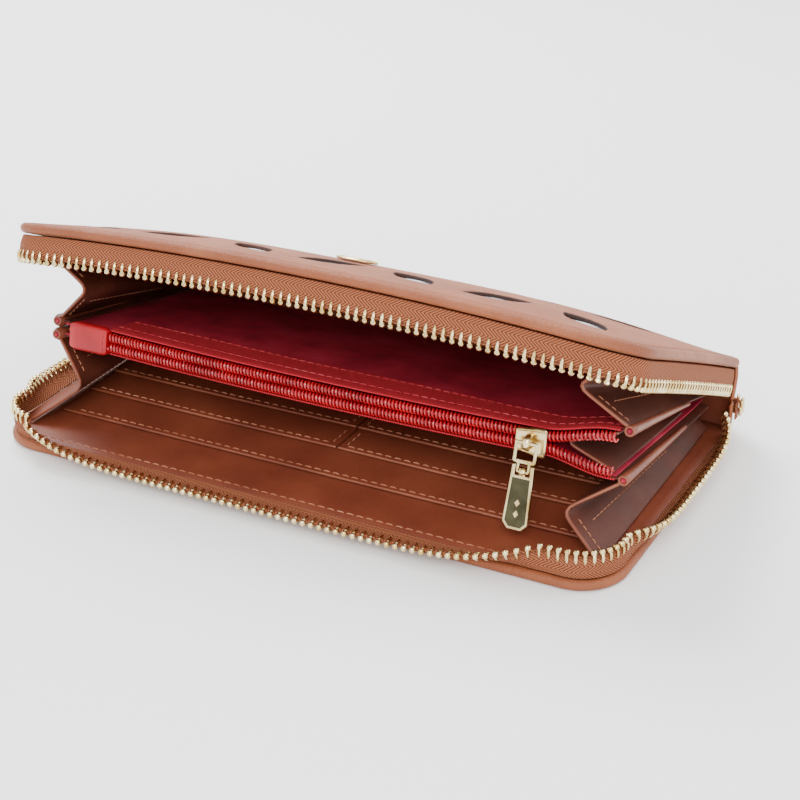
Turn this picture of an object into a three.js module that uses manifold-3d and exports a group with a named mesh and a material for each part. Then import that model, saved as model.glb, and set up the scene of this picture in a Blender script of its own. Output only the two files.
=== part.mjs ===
import * as THREE from "three";
import { mergeVertices } from "three/addons/utils/BufferGeometryUtils.js";
import Module from "manifold-3d";

// A long zip around wallet, lying on its back with the lid standing open. Millimetres, +Z up.
// X runs along the wallet, the mouth faces -Y and the spine is at +Y. The origin is the centre of the
// underside. Everything is laid out as it lies when the wallet is shut; the pocket and the lid are then
// turned about the spine line by nested groups.

const wasm = await Module();
wasm.setup();

// ---------------------------------------------------------------- driving dimensions
const HALF_LENGTH = 97.5;
const HALF_DEPTH = 50;
const THICKNESS = 24;
const CORNER_RADIUS = 14;
const REAR_RADIUS = 5;
const GAP = 0.3;
const MID = THICKNESS / 2;
const SPINE_Y = 51.5;
const REAR_END = 44;
const POCKET_ANGLE = THREE.MathUtils.degToRad(12);
const LID_ANGLE = THREE.MathUtils.degToRad(24.75);

// Leather, board and fabric thicknesses.
const COVER = 1.6;
const BOARD = 0.8;
const LINING = 0.6;
const SLOT_LEATHER = 0.65;
const GUSSET = 0.7;
const WALL = 0.6;
const TAPE = 0.7;

// The lid is a shallow dome, and its front edge is arched.
const DOME_RISE = 6;
const ARCH_RISE = 3.5;

// Rolled edge and main zip.
const PIPING_RADIUS = 1.5;
const PIPING_INSET = 1.7;
const PANEL_INSET = PIPING_INSET + PIPING_RADIUS + GAP;
const TAPE_ROOT = 3.7;
const TOOTH_PITCH = 2.54;
const TOOTH_HEIGHT = 2.1;
const TAPE_HEIGHT = MID - GAP / 2 - TOOTH_HEIGHT - TAPE_ROOT - GAP;
const FRONT_FLARE = THREE.MathUtils.degToRad(88);
const SIDE_FLARE = THREE.MathUtils.degToRad(55);

// Card rows on the base, from the front one to the rear one.
const SLOT_HALF_WIDTH = 84;
const SLIP_POCKET_FRONT = -30;
const CARD_ROW_FRONTS = [-16.3, -4.1, 8];

// Coin pocket between base and lid.
const POCKET_HALF_WIDTH = 88;
const POCKET_REAR = 46;
const NOSE_Y = -24.5;
const NOSE_HALF_GAP = 3;
const REAR_HALF_GAP = 0.7;
const LEFT_HALF_GAP = 1.6;
const RIGHT_HALF_GAP = 6.2;
const POCKET_BULGE = 1.2;
const POCKET_SAG = 1.6;
const COIL_RADIUS = 1.25;
const COIL_OFFSET = COIL_RADIUS + 0.25;
const COIL_Y = NOSE_Y - 1.9;
const COIN_TAPE = 0.5;
const COIN_TAPE_DEPTH = 11.5;
const COIN_ZIP_START = -71;
const COIN_SLIDER_X = 65;

// Gussets.
const GUSSET_X = 90.5;
const GUSSET_FRONT = -40;
const CREST_DEPTH = 14;

// Pulls.
const PLATE_THICKNESS = 1.1;
const LINK_THICKNESS = 0.8;
const PIVOT_HEIGHT = 2;
const COIN_PULL_ANGLE = THREE.MathUtils.degToRad(84);
const SLIDER_FACE = 1.2;

// Closed end of the main zip, round the right rear corner.
const END_CHAIN_X = 98.9;
const END_CHAIN_Y = 53.8;
const END_CHAIN_Z = 10.6;
const END_CHAIN_STOP = 70;
const MAIN_SLIDER_X = 88;

const { lerp, clamp, smoothstep } = THREE.MathUtils;
const range = (count) => Array.from({ length: count }, (_, k) => k / (count - 1));
const vec = (x, y, z) => new THREE.Vector3(x, y, z);

// ---------------------------------------------------------------- materials
const finish = (color, roughness, metalness = 0) =>
  new THREE.MeshStandardMaterial({ color, roughness, metalness });
const MATERIALS = {
  outerLeather: finish(0xa65a2e, 0.55),
  inlay: finish(0x8f979f, 0.2),
  innerLeather: finish(0x63301c, 0.5),
  board: finish(0x9a8a72, 0.9),
  tape: finish(0xa0603c, 0.9),
  gold: finish(0xe3cf96, 0.25, 1),
  redFabric: finish(0x7d1628, 0.8),
  redTape: finish(0xb3121f, 0.8),
  redCoil: finish(0xc01522, 0.4),
  redLeather: finish(0xc51a22, 0.45),
};

// ---------------------------------------------------------------- geometry helpers
// An indexed geometry with its faces turned outwards.
function closedGeometry(points, index) {
  let volume = 0;
  for (let i = 0; i < index.length; i += 3) {
    const [a, b, c] = [points[index[i]], points[index[i + 1]], points[index[i + 2]]];
    volume += a.dot(b.clone().cross(c));
  }
  if (volume < 0) index.reverse();
  const geometry = new THREE.BufferGeometry().setFromPoints(points).setIndex(index);
  geometry.computeVertexNormals();
  return geometry;
}

function pushQuad(index, a, b, c, d) {
  index.push(a, b, c, a, c, d);
}

// A sheet of even thickness whose middle surface is surface(u, v), sampled at the given values.
function sheetOf(surface, us, vs, thickness) {
  const grid = us.map((u) => vs.map((v) => surface(u, v)));
  const last = [us.length - 1, vs.length - 1];
  const normalAt = (i, j) => {
    const du = grid[Math.min(i + 1, last[0])][j].clone().sub(grid[Math.max(i - 1, 0)][j]);
    const dv = grid[i][Math.min(j + 1, last[1])].clone().sub(grid[i][Math.max(j - 1, 0)]);
    return du.cross(dv).normalize();
  };
  const points = [];
  for (const side of [0.5, -0.5]) {
    grid.forEach((row, i) =>
      row.forEach((p, j) => points.push(p.clone().addScaledVector(normalAt(i, j), side * thickness))),
    );
  }
  const at = (side, i, j) => (side * us.length + i) * vs.length + j;
  const index = [];
  for (let i = 0; i < last[0]; i++) {
    for (let j = 0; j < last[1]; j++) {
      pushQuad(index, at(0, i, j), at(0, i + 1, j), at(0, i + 1, j + 1), at(0, i, j + 1));
      pushQuad(index, at(1, i, j), at(1, i, j + 1), at(1, i + 1, j + 1), at(1, i + 1, j));
    }
    pushQuad(index, at(1, i, 0), at(1, i + 1, 0), at(0, i + 1, 0), at(0, i, 0));
    pushQuad(index, at(0, i, last[1]), at(0, i + 1, last[1]), at(1, i + 1, last[1]), at(1, i, last[1]));
  }
  for (let j = 0; j < last[1]; j++) {
    pushQuad(index, at(0, 0, j), at(0, 0, j + 1), at(1, 0, j + 1), at(1, 0, j));
    pushQuad(index, at(1, last[0], j), at(1, last[0], j + 1), at(0, last[0], j + 1), at(0, last[0], j));
  }
  return closedGeometry(points, index);
}

// A bar through a row of closed loops of equally many points, capped at both ends.
function barThrough(loops) {
  const count = loops[0].length;
  const points = loops.flat();
  const index = [];
  for (let r = 0; r + 1 < loops.length; r++) {
    for (let k = 0; k < count; k++) {
      const next = (k + 1) % count;
      pushQuad(index, r * count + k, r * count + next, (r + 1) * count + next, (r + 1) * count + k);
    }
  }
  const end = (loops.length - 1) * count;
  for (let k = 1; k + 1 < count; k++) {
    index.push(0, k + 1, k, end, end + k, end + k + 1);
  }
  return closedGeometry(points, index);
}

function slab(shape, bottom, top) {
  return new THREE.ExtrudeGeometry(shape, { depth: top - bottom, bevelEnabled: false, curveSegments: 5 })
    .translate(0, 0, bottom);
}

function rectangle(halfX, y0, y1) {
  return new THREE.Shape()
    .moveTo(-halfX, y0)
    .lineTo(halfX, y0)
    .lineTo(halfX, y1)
    .lineTo(-halfX, y1)
    .closePath();
}

// ---------------------------------------------------------------- joins and cuts
function toSolid(geometry) {
  const bare = geometry.index ? geometry.toNonIndexed() : geometry.clone();
  bare.deleteAttribute("normal");
  bare.deleteAttribute("uv");
  const merged = mergeVertices(bare, 1e-4);
  return new wasm.Manifold(
    new wasm.Mesh({
      numProp: 3,
      vertProperties: merged.attributes.position.array,
      triVerts: new Uint32Array(merged.index.array),
    }),
  );
}

function fromSolid(solid) {
  const mesh = solid.getMesh();
  const geometry = new THREE.BufferGeometry();
  geometry.setAttribute("position", new THREE.BufferAttribute(mesh.vertProperties, 3));
  geometry.setIndex(new THREE.BufferAttribute(mesh.triVerts, 1));
  geometry.computeVertexNormals();
  return geometry;
}

const joined = (...parts) => fromSolid(parts.map(toSolid).reduce((a, b) => a.add(b)));
const cut = (body, ...tools) => fromSolid(tools.map(toSolid).reduce((a, b) => a.subtract(b), toSolid(body)));

// ---------------------------------------------------------------- the rim
const SIDE_RUN = REAR_END + HALF_DEPTH - CORNER_RADIUS;
const ARC_RUN = (Math.PI / 2) * CORNER_RADIUS;
const FRONT_RUN = 2 * (HALF_LENGTH - CORNER_RADIUS);
const RIM_RUN = 2 * (SIDE_RUN + ARC_RUN) + FRONT_RUN;

// The point of the outline at a distance from its left rear end, moved in by inset, and its outward normal.
function rimAt(distance, inset) {
  const mirrored = distance > RIM_RUN / 2;
  const d = mirrored ? RIM_RUN - distance : distance;
  const turn = clamp((d - SIDE_RUN) / CORNER_RADIUS, 0, Math.PI / 2);
  const normal = vec(-Math.cos(turn), -Math.sin(turn), 0);
  const point = vec(CORNER_RADIUS - HALF_LENGTH, CORNER_RADIUS - HALF_DEPTH, 0);
  point.addScaledVector(normal, CORNER_RADIUS - inset);
  point.y += Math.max(SIDE_RUN - d, 0);
  point.x += Math.max(d - SIDE_RUN - ARC_RUN, 0);
  if (mirrored) {
    point.x *= -1;
    normal.x *= -1;
  }
  return { point, normal };
}

// Distances that follow the rim: a few on the straights, closer together round the corners.
function rimStations(sideSteps, arcSteps, frontSteps) {
  const stops = [0, SIDE_RUN, SIDE_RUN + ARC_RUN, RIM_RUN - SIDE_RUN - ARC_RUN, RIM_RUN - SIDE_RUN, RIM_RUN];
  const steps = [sideSteps, arcSteps, frontSteps, arcSteps, sideSteps];
  const stations = [0];
  steps.forEach((count, k) => {
    for (let n = 1; n <= count; n++) stations.push(lerp(stops[k], stops[k + 1], n / count));
  });
  return stations;
}

function lidRise(x, y) {
  const across = x / HALF_LENGTH;
  const dome = DOME_RISE * (1 - (y / HALF_DEPTH) ** 2) * (1 - across ** 4);
  const arch = ARCH_RISE * (1 - across ** 2) * ((HALF_DEPTH - y) / (2 * HALF_DEPTH)) ** 2;
  return Math.max(dome, 0) + Math.max(arch, 0);
}

// How far the opened base tape leans outwards: flat along the front, half way at the sides, upright
// at the corners.
function baseFlare(point, normal) {
  const front = clamp((point.x + 5) / 83, -1, 1);
  const side = clamp((point.y - 5) / 38, -1, 1);
  const onFront = Math.abs(normal.y) > 0.999;
  const onSide = Math.abs(normal.x) > 0.999;
  if (onFront) return FRONT_FLARE * (1 - front ** 6);
  return onSide ? SIDE_FLARE * (1 - side ** 4) : 0;
}

// Where a tape leaves its shell, which way it runs and which way it faces.
const baseTapeAt = (distance) => {
  const { point, normal } = rimAt(distance, PIPING_INSET);
  const flare = baseFlare(point, normal);
  const run = vec(0, 0, Math.cos(flare)).addScaledVector(normal, Math.sin(flare));
  const face = vec(0, 0, -Math.sin(flare)).addScaledVector(normal, Math.cos(flare));
  point.z = TAPE_ROOT;
  return { root: point, run, face };
};
const lidTapeAt = (distance) => {
  const { point, normal } = rimAt(distance, PIPING_INSET);
  point.z = THICKNESS - TAPE_ROOT + lidRise(point.x, point.y);
  return { root: point, run: vec(0, 0, -1), face: normal };
};

// ---------------------------------------------------------------- shells
function panelShape(inset) {
  const x = HALF_LENGTH - inset;
  const front = -HALF_DEPTH + inset;
  const radius = CORNER_RADIUS - inset;
  return new THREE.Shape()
    .moveTo(-x + radius, front)
    .absarc(x - radius, front + radius, radius, -Math.PI / 2, 0)
    .absarc(x - REAR_RADIUS, HALF_DEPTH - REAR_RADIUS, REAR_RADIUS, 0, Math.PI / 2)
    .absarc(-x + REAR_RADIUS, HALF_DEPTH - REAR_RADIUS, REAR_RADIUS, Math.PI / 2, Math.PI)
    .absarc(-x + radius, front + radius, radius, Math.PI, 1.5 * Math.PI);
}

function panelHalfWidth(y, inset) {
  const radius = CORNER_RADIUS - inset;
  const frontIn = Math.max(-HALF_DEPTH + inset + radius - y, 0);
  const rearIn = Math.max(y - HALF_DEPTH + REAR_RADIUS, 0);
  const frontCut = radius - Math.sqrt(Math.max(radius ** 2 - frontIn ** 2, 0));
  const rearCut = REAR_RADIUS - Math.sqrt(Math.max(REAR_RADIUS ** 2 - rearIn ** 2, 0));
  return HALF_LENGTH - inset - frontCut - rearCut;
}

// A lid layer between two heights of the shut wallet, following the dome.
function lidLayer(inset, bottom, top) {
  const radius = CORNER_RADIUS - inset;
  const front = -HALF_DEPTH + inset;
  const frontRows = range(5).map((t) => front + radius * (1 - Math.cos((t * Math.PI) / 2)));
  const middleRows = [-20, 0, 20];
  const rearRows = range(3).map((t) => HALF_DEPTH - REAR_RADIUS * (1 - Math.sin((t * Math.PI) / 2)));
  const rows = [...frontRows, ...middleRows, ...rearRows];
  const height = (bottom + top) / 2;
  const surface = (u, y) => {
    const x = u * panelHalfWidth(y, inset);
    return vec(x, y, height + lidRise(x, y));
  };
  return sheetOf(surface, range(13).map((t) => 2 * t - 1), rows, top - bottom);
}

// A pointed leaf, the motif cut through the lid.
function leafTool(x, y, turn) {
  const length = 9.5;
  const bow = 5.6;
  const leaf = new THREE.Shape()
    .moveTo(-length, 0)
    .quadraticCurveTo(0, bow * 2 - 2, length, 0)
    .quadraticCurveTo(0, 2 - bow * 2, -length, 0);
  return new THREE.ExtrudeGeometry(leaf, { depth: THICKNESS, bevelEnabled: false, curveSegments: 4 })
    .rotateZ(turn)
    .translate(x, y, MID);
}

const LEAF_COLUMNS = 7;
const LEAF_PITCH_X = 25;
const LEAF_ROWS = [-31, -1, 29];
const LEAF_TURN = Math.PI / 5;

function lidCover() {
  const tools = LEAF_ROWS.flatMap((y, row) =>
    range(LEAF_COLUMNS).map((t, column) => {
      const x = (column - (LEAF_COLUMNS - 1) / 2) * LEAF_PITCH_X;
      return leafTool(x, y, (row + column) % 2 ? LEAF_TURN : -LEAF_TURN);
    }),
  );
  return cut(lidLayer(PANEL_INSET, THICKNESS - COVER, THICKNESS), ...tools);
}

// The rolled leather edge along the mouth and both sides.
function piping(height, riseAt) {
  const loops = rimStations(4, 5, 10).map((distance) => {
    const { point, normal } = rimAt(distance, PIPING_INSET);
    point.z = height + riseAt(point.x, point.y);
    return range(9).slice(0, 8).map((t) => {
      const turn = t * 2 * Math.PI;
      const ring = point.clone().addScaledVector(normal, PIPING_RADIUS * Math.cos(turn));
      ring.z += PIPING_RADIUS * Math.sin(turn);
      return ring;
    });
  });
  return barThrough(loops);
}

function zipTape(tapeAt) {
  const surface = (distance, v) => {
    const { root, run } = tapeAt(distance);
    return root.addScaledVector(run, v * TAPE_HEIGHT);
  };
  return sheetOf(surface, rimStations(6, 5, 14), [0, 1], TAPE);
}

// One row of teeth, joined by the bead cord they are clamped on.
function toothRow(tapeAt) {
  const halfSteps = 2 * Math.round(RIM_RUN / TOOTH_PITCH);
  const loops = range(halfSteps + 1).map((t, k) => {
    const { root, run, face } = tapeAt(t * RIM_RUN);
    const tooth = k % 2 === 1;
    const low = TAPE_HEIGHT + GAP;
    const high = low + (tooth ? TOOTH_HEIGHT : TOOTH_HEIGHT / 2);
    const half = tooth ? 0.8 : 0.45;
    return [[low, half], [high, half], [high, -half], [low, -half]].map(([along, out]) =>
      root.clone().addScaledVector(run, along).addScaledVector(face, out),
    );
  });
  return barThrough(loops);
}

// The metal stop beyond the last tooth at the left end.
function zipStop(tapeAt) {
  const { root, run } = tapeAt(0);
  const centre = root.addScaledVector(run, TAPE_HEIGHT + GAP + TOOTH_HEIGHT / 2);
  return new THREE.BoxGeometry(1.8, 1.6, TOOTH_HEIGHT).translate(centre.x, centre.y + 1.3, centre.z);
}

// Half of the spine leather, from a panel's rear edge to the spine line.
function spineHalf(low, high, bendAtLow) {
  const inner = HALF_DEPTH + GAP;
  const bend = SPINE_Y - inner;
  const profile = new THREE.Shape();
  if (bendAtLow) {
    profile.moveTo(inner, low).lineTo(SPINE_Y, low + bend).lineTo(SPINE_Y, high).lineTo(inner, high);
  } else {
    profile.moveTo(inner, low).lineTo(SPINE_Y, low).lineTo(SPINE_Y, high - bend).lineTo(inner, high);
  }
  const width = 2 * (HALF_LENGTH - REAR_RADIUS);
  return new THREE.ExtrudeGeometry(profile, { depth: width, bevelEnabled: false })
    .translate(0, 0, -width / 2)
    .applyMatrix4(new THREE.Matrix4().set(0, 0, 1, 0, 1, 0, 0, 0, 0, 1, 0, 0, 0, 0, 0, 1));
}

// ---------------------------------------------------------------- coin pocket
const pocketDepth = (y) => clamp((POCKET_REAR - y) / (POCKET_REAR - NOSE_Y), 0, 1);

const pocketMiddle = (x, y) =>
  MID - POCKET_SAG * (1 - (x / POCKET_HALF_WIDTH) ** 2) * pocketDepth(y);

// Half the distance between the two pocket walls.
function pocketHalfGap(x, y) {
  const depth = pocketDepth(y);
  const left = smoothstep(x, -POCKET_HALF_WIDTH, COIN_ZIP_START);
  const right = smoothstep(x, COIN_SLIDER_X + 2, POCKET_HALF_WIDTH - 2);
  const atNose = lerp(lerp(LEFT_HALF_GAP, NOSE_HALF_GAP, left), RIGHT_HALF_GAP, right);
  const bulge = POCKET_BULGE * Math.sin(Math.PI * depth) * (1 - (x / POCKET_HALF_WIDTH) ** 2);
  return lerp(REAR_HALF_GAP, atNose, depth ** 0.8) + bulge;
}

const POCKET_COLUMNS = [-POCKET_HALF_WIDTH, -80, COIN_ZIP_START, -40, 0, 40, 67, 74, 81, POCKET_HALF_WIDTH];
const pocketWall = (side) =>
  sheetOf(
    (x, y) => vec(x, y, pocketMiddle(x, y) + side * pocketHalfGap(x, y)),
    POCKET_COLUMNS,
    [POCKET_REAR, 36, 22, 5, -12, NOSE_Y],
    WALL,
  );

const COIN_ZIP_COLUMNS = [COIN_ZIP_START + GAP, -40, 0, 40, 67, 74, 81, POCKET_HALF_WIDTH];

// Half of the coin zip's tape: flat on the wall, then bent over the nose towards the coil.
function coinTape(side) {
  const lift = WALL / 2 + GAP + COIN_TAPE / 2;
  const surface = (x, v) => {
    const y = [NOSE_Y + COIN_TAPE_DEPTH, NOSE_Y - 0.4, COIN_FACE_Y][v];
    const drop = v === 2 ? 0.4 : 0;
    return vec(x, y, pocketMiddle(x, y) + side * (pocketHalfGap(x, y) + lift - drop));
  };
  return sheetOf(surface, COIN_ZIP_COLUMNS, [0, 1, 2], COIN_TAPE);
}
const COIN_FACE_Y = COIL_Y + 0.2;

// One coil, meshed with the other up to the slider and parted beyond it.
function coinCoil(side) {
  const loops = COIN_ZIP_COLUMNS.map((x) => {
    const open = pocketHalfGap(x, NOSE_Y) - NOSE_HALF_GAP;
    const z = pocketMiddle(x, NOSE_Y) + side * (COIL_OFFSET + Math.max(open, 0));
    return range(7).slice(0, 6).map((t) => {
      const turn = t * 2 * Math.PI;
      return vec(x, COIL_Y + COIL_RADIUS * Math.cos(turn), z + COIL_RADIUS * Math.sin(turn));
    });
  });
  return barThrough(loops);
}

// The folded leather tab that covers the shut end of the coin zip.
function coinEndTab() {
  const halfHeight = 4.2;
  const front = COIL_Y - COIL_RADIUS - 0.6;
  const back = NOSE_Y - GAP - 0.1;
  const corner = 1.2;
  const middle = pocketMiddle(COIN_ZIP_START, NOSE_Y);
  const profile = new THREE.Shape()
    .moveTo(back, middle - halfHeight)
    .lineTo(back, middle + halfHeight)
    .lineTo(front + corner, middle + halfHeight)
    .lineTo(front, middle + halfHeight - corner)
    .lineTo(front, middle - halfHeight + corner)
    .lineTo(front + corner, middle - halfHeight);
  const length = 13;
  return new THREE.ExtrudeGeometry(profile, { depth: length, bevelEnabled: false })
    .applyMatrix4(new THREE.Matrix4().set(0, 0, 1, 0, 1, 0, 0, 0, 0, 1, 0, 0, 0, 0, 0, 1))
    .translate(COIN_ZIP_START - length, 0, 0);
}

// ---------------------------------------------------------------- gussets
// A point of the shut wallet, turned open about the spine line.
function opened(point, angle) {
  const pivot = vec(0, SPINE_Y, MID);
  return point.sub(pivot).applyAxisAngle(vec(-1, 0, 0), angle).add(pivot);
}

const wallClearance = WALL / 2 + GAP + GUSSET / 2;
const baseLine = (side) => (t) =>
  vec(side * GUSSET_X, lerp(REAR_END, GUSSET_FRONT, t), LINING_TOP + GAP + GUSSET / 2 + 0.2);
const lidLine = (side) => (t) => {
  const y = lerp(REAR_END, GUSSET_FRONT, t);
  const z = THICKNESS - LINING_TOP - GAP - GUSSET / 2 - 0.2;
  return opened(vec(side * GUSSET_X, y, z), LID_ANGLE);
};
const pocketLine = (side, wall) => (t) => {
  const y = lerp(REAR_END, NOSE_Y, t);
  const x = side * POCKET_HALF_WIDTH;
  const z = pocketMiddle(x, y) + wall * (pocketHalfGap(x, y) + wallClearance);
  return opened(vec(side * GUSSET_X, y, z), POCKET_ANGLE);
};

// A V fold between two lines, its crest pointing into the wallet and growing towards the mouth.
function gussetFold(side, lowerLine, upperLine) {
  const surface = (t, v) => {
    const low = lowerLine(t);
    const high = upperLine(t);
    if (v === 0) return low;
    if (v === 1) return high;
    const crest = low.lerp(high, 0.5);
    crest.x -= side * CREST_DEPTH * lerp(0.35, 1, t);
    return crest;
  };
  return sheetOf(surface, range(7), [0, 0.5, 1], GUSSET);
}

// The fold inside the coin pocket's open right end.
function rightMiddleFold() {
  const inset = 1;
  const x = POCKET_HALF_WIDTH - inset;
  const surface = (t, v) => {
    const y = lerp(30, NOSE_Y + 0.5, t);
    const reach = pocketHalfGap(x, y) - wallClearance;
    if (v === 0.5) return vec(x - CREST_DEPTH * lerp(0.6, 1, t), y, pocketMiddle(x, y));
    return vec(x, y, pocketMiddle(x, y) + Math.sign(v - 0.5) * reach);
  };
  return sheetOf(surface, range(6), [0, 0.5, 1], GUSSET);
}

// The same fold at the shut left end, pressed flat.
function leftMiddleFold() {
  const surface = (x, y) => vec(x, y, pocketMiddle(x, y));
  return sheetOf(surface, [-87, -76], [14, -4, NOSE_Y + 0.5], 0.9);
}

// ---------------------------------------------------------------- sliders and pulls
// Local frame of a slider: x along the chain, y across it, z away from it, z = 0 on the chain's face.
function sliderBody(bridgeAcross) {
  const face = new THREE.Shape()
    .moveTo(-4.4, -2.9)
    .lineTo(1.6, -3.9)
    .lineTo(4.4, -3.9)
    .lineTo(4.4, 3.9)
    .lineTo(1.6, 3.9)
    .lineTo(-4.4, 2.9)
    .closePath();
  const bridgeHeight = PIVOT_HEIGHT + 1.4;
  const arch = new THREE.Shape()
    .moveTo(-2.3, -0.3)
    .lineTo(-1.9, bridgeHeight - 0.4)
    .lineTo(-1.4, bridgeHeight)
    .lineTo(1.4, bridgeHeight)
    .lineTo(1.9, bridgeHeight - 0.4)
    .lineTo(2.3, -0.3)
    .lineTo(1.3, -0.3)
    .lineTo(1, bridgeHeight - 0.8)
    .lineTo(-1, bridgeHeight - 0.8)
    .lineTo(-1.3, -0.3)
    .closePath();
  const bridge = new THREE.ExtrudeGeometry(arch, { depth: 1.8, bevelEnabled: false })
    .translate(0, 0, -0.9)
    .rotateX(Math.PI / 2)
    .rotateZ(bridgeAcross ? Math.PI / 2 : 0)
    .translate(0, 0, SLIDER_FACE);
  return joined(slab(face, 0, SLIDER_FACE), bridge);
}

// Local frame of a pull: x along it from the pivot, y across, z through it.
function pullLink() {
  const outline = new THREE.Shape()
    .moveTo(-0.45, -3.3)
    .lineTo(5.4, -3.3)
    .lineTo(5.4, -1.9)
    .lineTo(8.1, -1.9)
    .lineTo(8.1, 1.9)
    .lineTo(5.4, 1.9)
    .lineTo(5.4, 3.3)
    .lineTo(-0.45, 3.3)
    .closePath();
  const window = (x0, x1, half) =>
    new THREE.Path()
      .moveTo(x0, -half)
      .lineTo(x0, half)
      .lineTo(x1, half)
      .lineTo(x1, -half)
      .closePath();
  outline.holes.push(window(0.45, 4.5, 2.4), window(5.5, 7.4, 1.2));
  return slab(outline, -LINK_THICKNESS / 2, LINK_THICKNESS / 2);
}

const PLATE_HINGE_X = 7.75;
const PLATE_END_X = 23.5;

function pullPlate() {
  const start = PLATE_HINGE_X + 0.95;
  const outline = new THREE.Shape()
    .moveTo(start, -3.2)
    .lineTo(PLATE_END_X - 1.8, -3.7)
    .lineTo(PLATE_END_X, -2.1)
    .lineTo(PLATE_END_X, 2.1)
    .lineTo(PLATE_END_X - 1.8, 3.7)
    .lineTo(start, 3.2)
    .closePath();
  const plate = slab(outline, -PLATE_THICKNESS / 2, PLATE_THICKNESS / 2);
  const curl = new THREE.BoxGeometry(2.6, 1.8, 2.2).translate(PLATE_HINGE_X, 0, 0);
  const eye = new THREE.BoxGeometry(1.3, 4, 1.3).translate(PLATE_HINGE_X, 0, 0);
  return cut(joined(plate, curl), eye);
}

// ---------------------------------------------------------------- closed end of the main zip
// The path of the closed chain, round the right rear corner and along the spine.
function endChainAt(t, out) {
  const radius = 4;
  const x = END_CHAIN_X + out;
  const y = END_CHAIN_Y + out;
  const corner = vec(END_CHAIN_X - radius, END_CHAIN_Y - radius, END_CHAIN_Z);
  if (t < 0.2) return vec(x, lerp(REAR_END + 1.5, corner.y, t / 0.2), END_CHAIN_Z);
  if (t > 0.4) return vec(lerp(corner.x, END_CHAIN_STOP, (t - 0.4) / 0.6), y, END_CHAIN_Z);
  const turn = ((t - 0.2) / 0.2) * (Math.PI / 2);
  const reach = radius + out;
  return corner.add(vec(reach * Math.cos(turn), reach * Math.sin(turn), 0));
}

function endChain() {
  const half = 0.8;
  const loops = range(33).map((t, k) => {
    const halfHeight = k % 2 ? 1.9 : 1.5;
    return [[-half, -1], [half, -1], [half, 1], [-half, 1]].map(([out, side]) => {
      const point = endChainAt(t, out);
      point.z += side * halfHeight;
      return point;
    });
  });
  return barThrough(loops);
}

function endTape() {
  const surface = (t, v) => {
    const point = endChainAt(t, -1.4);
    point.z += v;
    return point;
  };
  return sheetOf(surface, [0, 0.2, 0.25, 0.3, 0.35, 0.4, 1], [-3.6, 1.2], 0.5);
}

// ---------------------------------------------------------------- assembly
const COVER_TOP = COVER;
const BOARD_BOTTOM = COVER_TOP + GAP;
const BOARD_TOP = BOARD_BOTTOM + BOARD;
const LINING_BOTTOM = BOARD_TOP + GAP;
const LINING_TOP = LINING_BOTTOM + LINING;
const LID_BOARD = 0.5;
const BADGE = { x: 0, y: -16, radius: 4, foot: 4.4, height: 0.9, stretch: 1.6 };

function mesh(name, geometry, material) {
  const piece = new THREE.Mesh(geometry, material);
  piece.name = name;
  return piece;
}

// A group whose children turn open about the spine line by angle.
function turnedAboutSpine(angle) {
  const hinge = new THREE.Group();
  hinge.position.set(0, SPINE_Y, MID);
  hinge.rotation.x = -angle;
  const contents = new THREE.Group();
  contents.position.set(0, -SPINE_Y, -MID);
  hinge.add(contents);
  return { hinge, contents };
}

function addBase(group) {
  const { outerLeather, board, innerLeather, tape, gold } = MATERIALS;
  group.add(mesh("base_cover", slab(panelShape(PANEL_INSET), 0, COVER_TOP), outerLeather));
  group.add(mesh("base_piping", piping(PIPING_RADIUS + 0.05, () => 0), outerLeather));
  group.add(mesh("base_board", slab(panelShape(PANEL_INSET), BOARD_BOTTOM, BOARD_TOP), board));
  group.add(mesh("base_lining", slab(panelShape(PANEL_INSET), LINING_BOTTOM, LINING_TOP), innerLeather));
  [SLIP_POCKET_FRONT, ...CARD_ROW_FRONTS].forEach((front, k) => {
    const bottom = LINING_TOP + GAP + k * (SLOT_LEATHER + GAP);
    const name = k ? `card_row_${k}` : "slip_pocket";
    const shape = rectangle(SLOT_HALF_WIDTH, front, REAR_END);
    group.add(mesh(name, slab(shape, bottom, bottom + SLOT_LEATHER), innerLeather));
  });
  group.add(mesh("base_zip_tape", zipTape(baseTapeAt), tape));
  group.add(mesh("base_zip_teeth", toothRow(baseTapeAt), gold));
  group.add(mesh("base_zip_stop", zipStop(baseTapeAt), gold));
  group.add(mesh("spine_lower", spineHalf(0, MID - GAP / 2, true), outerLeather));
  group.add(mesh("zip_end_chain", endChain(), gold));
  group.add(mesh("zip_end_tape", endTape(), tape));
}

function addLid(group) {
  const { outerLeather, inlay, board, innerLeather, tape, gold } = MATERIALS;
  const inlayTop = THICKNESS - COVER - GAP;
  const boardTop = THICKNESS - BOARD_BOTTOM - LINING - GAP;
  const liningTop = boardTop - LID_BOARD - GAP;
  group.add(mesh("lid_cover", lidCover(), outerLeather));
  group.add(mesh("lid_inlay", lidLayer(PANEL_INSET, inlayTop - LINING, inlayTop), inlay));
  group.add(mesh("lid_board", lidLayer(PANEL_INSET, boardTop - LID_BOARD, boardTop), board));
  group.add(mesh("lid_lining", lidLayer(PANEL_INSET, liningTop - LINING, liningTop), innerLeather));
  group.add(mesh("lid_piping", piping(THICKNESS - PIPING_RADIUS - 0.05, lidRise), outerLeather));
  group.add(mesh("lid_zip_tape", zipTape(lidTapeAt), tape));
  group.add(mesh("lid_zip_teeth", toothRow(lidTapeAt), gold));
  group.add(mesh("lid_zip_stop", zipStop(lidTapeAt), gold));
  group.add(mesh("spine_upper", spineHalf(MID + GAP / 2, THICKNESS, false), outerLeather));
  group.add(mesh("lid_emblem", lidEmblem(), gold));
}

// A plain oval badge on the lid.
function lidEmblem() {
  const { x, y, radius, foot, height, stretch } = BADGE;
  return new THREE.CylinderGeometry(radius, foot, height, 16)
    .rotateX(Math.PI / 2)
    .scale(stretch, 1, 1)
    .translate(x, y, THICKNESS + lidRise(x, y) + GAP + height / 2);
}

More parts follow.
